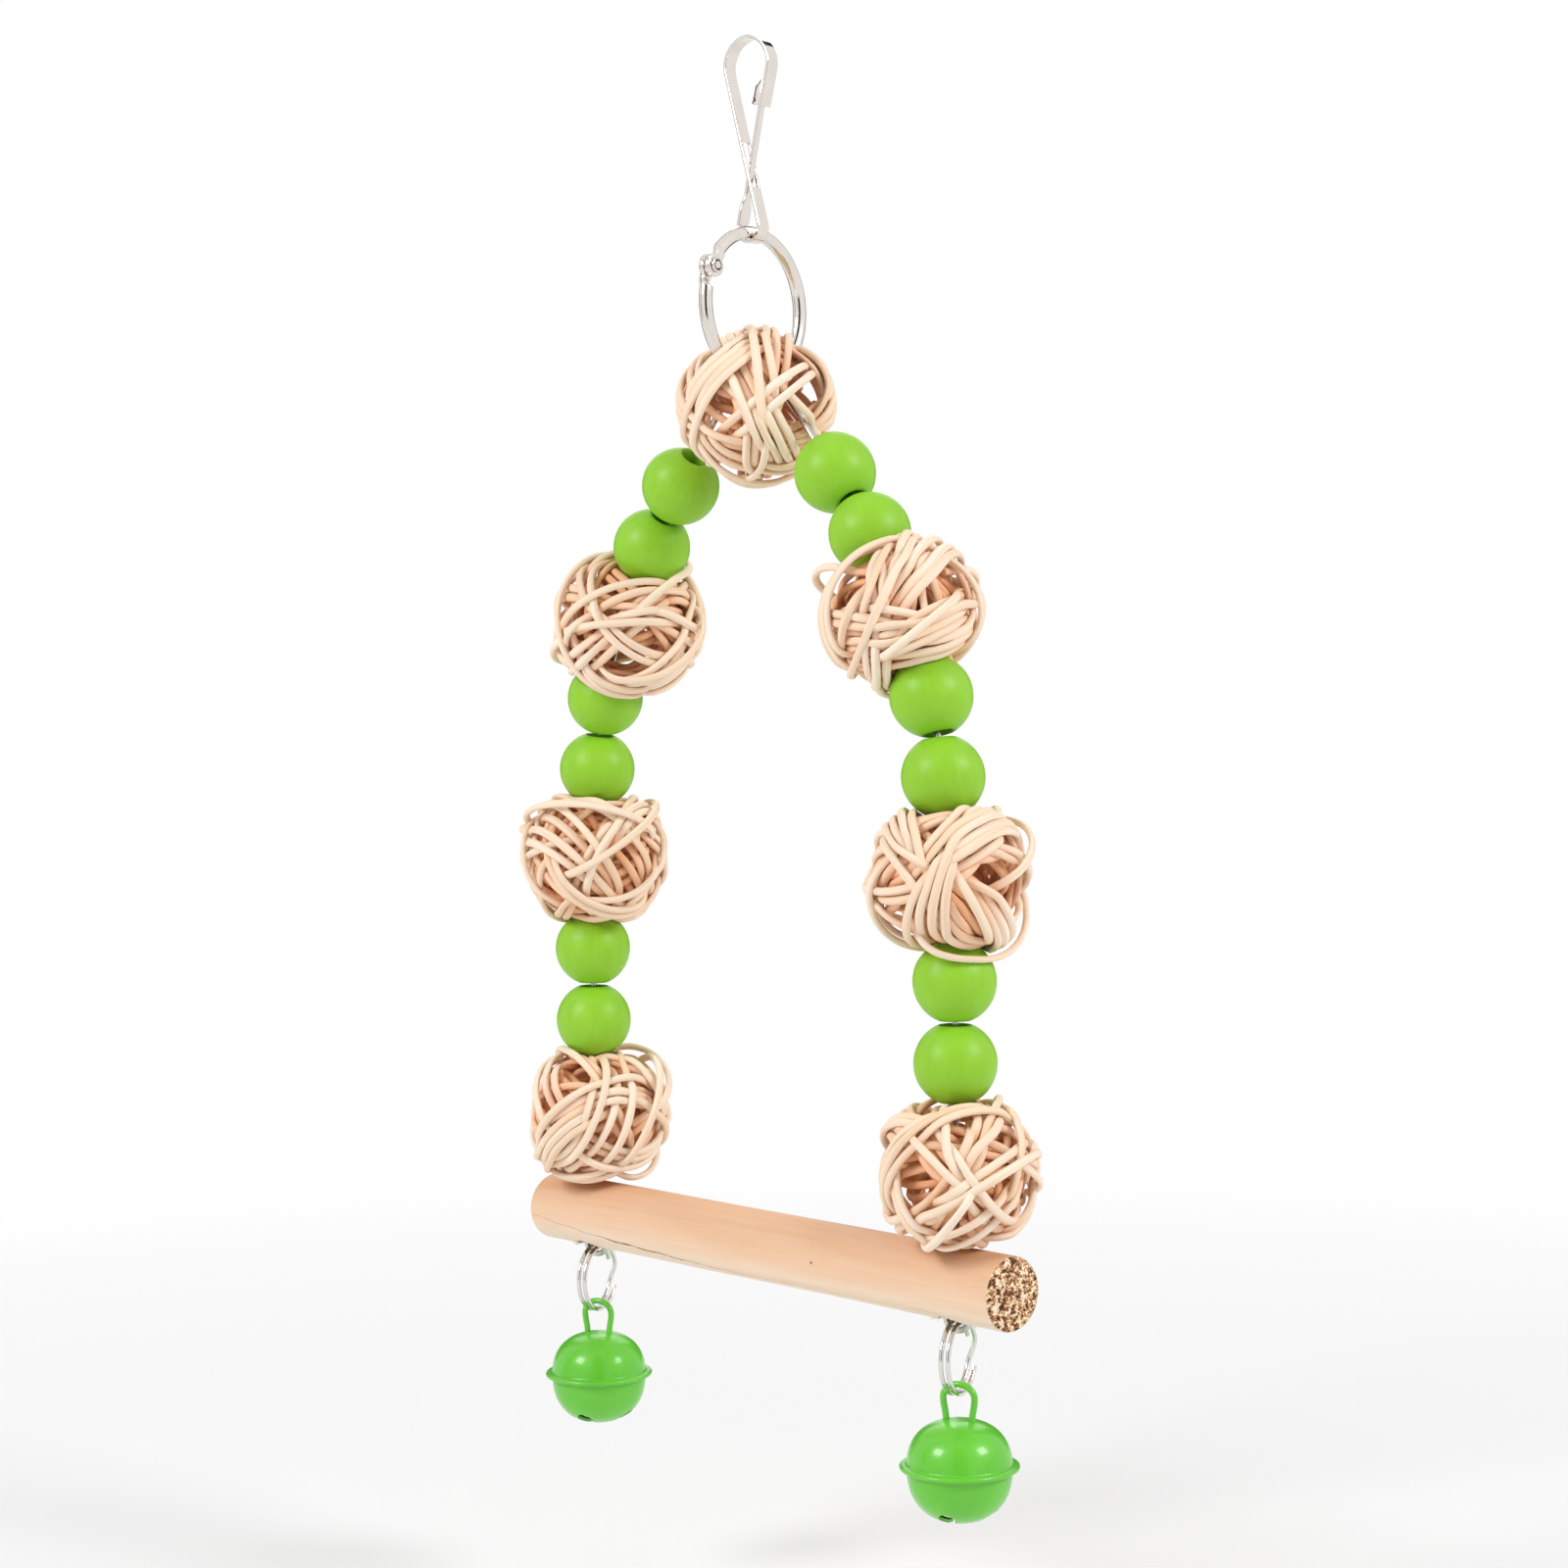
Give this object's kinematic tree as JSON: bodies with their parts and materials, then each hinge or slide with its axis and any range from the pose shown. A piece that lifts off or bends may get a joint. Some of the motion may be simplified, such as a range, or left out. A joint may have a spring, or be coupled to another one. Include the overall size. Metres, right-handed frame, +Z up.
{
  "type": "bird swing",
  "caption": "Hanging bird swing: a snap hook and hinged ring carry a wire arch threaded with wooden beads and woven rattan balls, with a round wooden perch and jingle bells below its ends.",
  "frame": {"origin": "centre of the hook's crown, where the cage bar lies", "axes": "+Z up, +X along the perch towards its right end, +Y away from the viewer"},
  "size_m": [0.1309, 0.0299, 0.2685],
  "materials": {
    "nickel": "bright nickel plate with soft dents",
    "wire": "drawn steel wire",
    "split_ring_steel": "bright spring steel",
    "perch_wood": "sanded bare softwood",
    "rattan": "natural split cane",
    "green_wood": "satin green stain over fine grain",
    "green_enamel": "glossy green enamel",
    "pellet_steel": "plain steel ball"
  },
  "bodies": {
    "hook": {"hook_body": "nickel"},
    "gate": {"hook_gate": "nickel"},
    "ring_upper": {"ring_upper_half": "nickel", "ring_rivet": "nickel"},
    "ring_lower": {"ring_lower_half": "nickel", "rattan_ball_top": "rattan"},
    "arch": {"arch_wire": "wire", "perch": "perch_wood"},
    "bead_left_1": {"bead_left_1": "green_wood"},
    "bead_left_2": {"bead_left_2": "green_wood"},
    "bead_left_3": {"bead_left_3": "green_wood"},
    "bead_left_4": {"bead_left_4": "green_wood"},
    "bead_left_5": {"bead_left_5": "green_wood"},
    "bead_left_6": {"bead_left_6": "green_wood"},
    "rattan_ball_left_1": {"rattan_ball_left_1": "rattan"},
    "rattan_ball_left_2": {"rattan_ball_left_2": "rattan"},
    "rattan_ball_left_3": {"rattan_ball_left_3": "rattan"},
    "split_ring_left": {"split_ring_left": "split_ring_steel"},
    "bell_left": {"bell_upper_shell_left": "green_enamel", "bell_lower_shell_left": "green_enamel", "bell_loop_left": "green_enamel"},
    "pellet_left": {"bell_pellet_left": "pellet_steel"},
    "bead_right_1": {"bead_right_1": "green_wood"},
    "bead_right_2": {"bead_right_2": "green_wood"},
    "bead_right_3": {"bead_right_3": "green_wood"},
    "bead_right_4": {"bead_right_4": "green_wood"},
    "bead_right_5": {"bead_right_5": "green_wood"},
    "bead_right_6": {"bead_right_6": "green_wood"},
    "rattan_ball_right_1": {"rattan_ball_right_1": "rattan"},
    "rattan_ball_right_2": {"rattan_ball_right_2": "rattan"},
    "rattan_ball_right_3": {"rattan_ball_right_3": "rattan"},
    "split_ring_right": {"split_ring_right": "split_ring_steel"},
    "bell_right": {"bell_upper_shell_right": "green_enamel", "bell_lower_shell_right": "green_enamel", "bell_loop_right": "green_enamel"},
    "pellet_right": {"bell_pellet_right": "pellet_steel"}
  },
  "joints": [
    {"name": "gate_opening", "type": "hinge", "parent": "hook", "child": "gate", "pos_m": [-0.00239, -0.00038, -0.02957], "axis": [0.1564, -0.9877, 0], "range_deg": [0, 7], "stiffness_Nm_per_rad": 0.05, "springref_deg": -5.73},
    {"name": "ring_sway", "type": "hinge", "parent": "hook", "child": "ring_upper", "pos_m": [0, 0, -0.03096], "axis": [-0.1564, 0.9877, 0], "range_deg": [-40, 40]},
    {"name": "ring_opening", "type": "hinge", "parent": "ring_upper", "child": "ring_lower", "pos_m": [0.0019, -0.01199, -0.03825], "axis": [-0.9877, -0.1564, 0], "range_deg": [0, 35]},
    {"name": "arch_swing", "type": "hinge", "parent": "ring_lower", "child": "arch", "pos_m": [0, 0, -0.05651], "axis": [1, 0, 0], "range_deg": [-20, 20]},
    {"name": "bead_left_1_spin", "type": "hinge", "parent": "arch", "child": "bead_left_1", "pos_m": [-0.02178, 0, -0.07689], "axis": [0.6369, 0, 0.771], "continuous": true},
    {"name": "bead_left_2_spin", "type": "hinge", "parent": "arch", "child": "bead_left_2", "pos_m": [-0.03072, 0, -0.08823], "axis": [0.5986, 0, 0.8011], "continuous": true},
    {"name": "bead_left_3_spin", "type": "hinge", "parent": "arch", "child": "bead_left_3", "pos_m": [-0.0459, 0, -0.11755], "axis": [0.2701, 0, 0.9628], "continuous": true},
    {"name": "bead_left_4_spin", "type": "hinge", "parent": "arch", "child": "bead_left_4", "pos_m": [-0.0487, 0, -0.13171], "axis": [0.1446, 0, 0.9895], "continuous": true},
    {"name": "bead_left_5_spin", "type": "hinge", "parent": "arch", "child": "bead_left_5", "pos_m": [-0.051, 0, -0.16763], "axis": [0.0017, 0, 1], "continuous": true},
    {"name": "bead_left_6_spin", "type": "hinge", "parent": "arch", "child": "bead_left_6", "pos_m": [-0.051, 0, -0.18207], "axis": [0, 0, 1], "continuous": true},
    {"name": "rattan_ball_left_1_spin", "type": "hinge", "parent": "arch", "child": "rattan_ball_left_1", "pos_m": [-0.03831, 0, -0.10289], "axis": [0.4599, 0, 0.888], "continuous": true},
    {"name": "rattan_ball_left_2_spin", "type": "hinge", "parent": "arch", "child": "rattan_ball_left_2", "pos_m": [-0.04985, 0, -0.14967], "axis": [0.064, 0, 0.9979], "continuous": true},
    {"name": "rattan_ball_left_3_spin", "type": "hinge", "parent": "arch", "child": "rattan_ball_left_3", "pos_m": [-0.051, 0, -0.20097], "axis": [0, 0, 1], "continuous": true},
    {"name": "split_ring_left_swing", "type": "hinge", "parent": "arch", "child": "split_ring_left", "pos_m": [-0.051, 0, -0.22766], "axis": [0.9272, 0.3746, 0], "range_deg": [-25, 25]},
    {"name": "bell_left_swing", "type": "hinge", "parent": "split_ring_left", "child": "bell_left", "pos_m": [-0.051, 0, -0.24134], "axis": [-0.3746, 0.9272, 0], "range_deg": [-50, 50]},
    {"name": "pellet_left_rise", "type": "slide", "parent": "bell_left", "child": "pellet_left", "axis": [0, 0, 1], "range_m": [0, 0.008]},
    {"name": "bead_right_1_spin", "type": "hinge", "parent": "arch", "child": "bead_right_1", "pos_m": [0.02178, 0, -0.07689], "axis": [-0.6369, 0, 0.771], "continuous": true},
    {"name": "bead_right_2_spin", "type": "hinge", "parent": "arch", "child": "bead_right_2", "pos_m": [0.03072, 0, -0.08823], "axis": [-0.5986, 0, 0.8011], "continuous": true},
    {"name": "bead_right_3_spin", "type": "hinge", "parent": "arch", "child": "bead_right_3", "pos_m": [0.0459, 0, -0.11755], "axis": [-0.2701, 0, 0.9628], "continuous": true},
    {"name": "bead_right_4_spin", "type": "hinge", "parent": "arch", "child": "bead_right_4", "pos_m": [0.0487, 0, -0.13171], "axis": [-0.1446, 0, 0.9895], "continuous": true},
    {"name": "bead_right_5_spin", "type": "hinge", "parent": "arch", "child": "bead_right_5", "pos_m": [0.051, 0, -0.16763], "axis": [-0.0017, 0, 1], "continuous": true},
    {"name": "bead_right_6_spin", "type": "hinge", "parent": "arch", "child": "bead_right_6", "pos_m": [0.051, 0, -0.18207], "axis": [0, 0, 1], "continuous": true},
    {"name": "rattan_ball_right_1_spin", "type": "hinge", "parent": "arch", "child": "rattan_ball_right_1", "pos_m": [0.03831, 0, -0.10289], "axis": [-0.4599, 0, 0.888], "continuous": true},
    {"name": "rattan_ball_right_2_spin", "type": "hinge", "parent": "arch", "child": "rattan_ball_right_2", "pos_m": [0.04985, 0, -0.14967], "axis": [-0.064, 0, 0.9979], "continuous": true},
    {"name": "rattan_ball_right_3_spin", "type": "hinge", "parent": "arch", "child": "rattan_ball_right_3", "pos_m": [0.051, 0, -0.20097], "axis": [0, 0, 1], "continuous": true},
    {"name": "split_ring_right_swing", "type": "hinge", "parent": "arch", "child": "split_ring_right", "pos_m": [0.051, 0, -0.22766], "axis": [0.9272, 0.3746, 0], "range_deg": [-25, 25]},
    {"name": "bell_right_swing", "type": "hinge", "parent": "split_ring_right", "child": "bell_right", "pos_m": [0.051, 0, -0.24134], "axis": [-0.3746, 0.9272, 0], "range_deg": [-50, 50]},
    {"name": "pellet_right_rise", "type": "slide", "parent": "bell_right", "child": "pellet_right", "axis": [0, 0, 1], "range_m": [0, 0.008]}
  ]
}
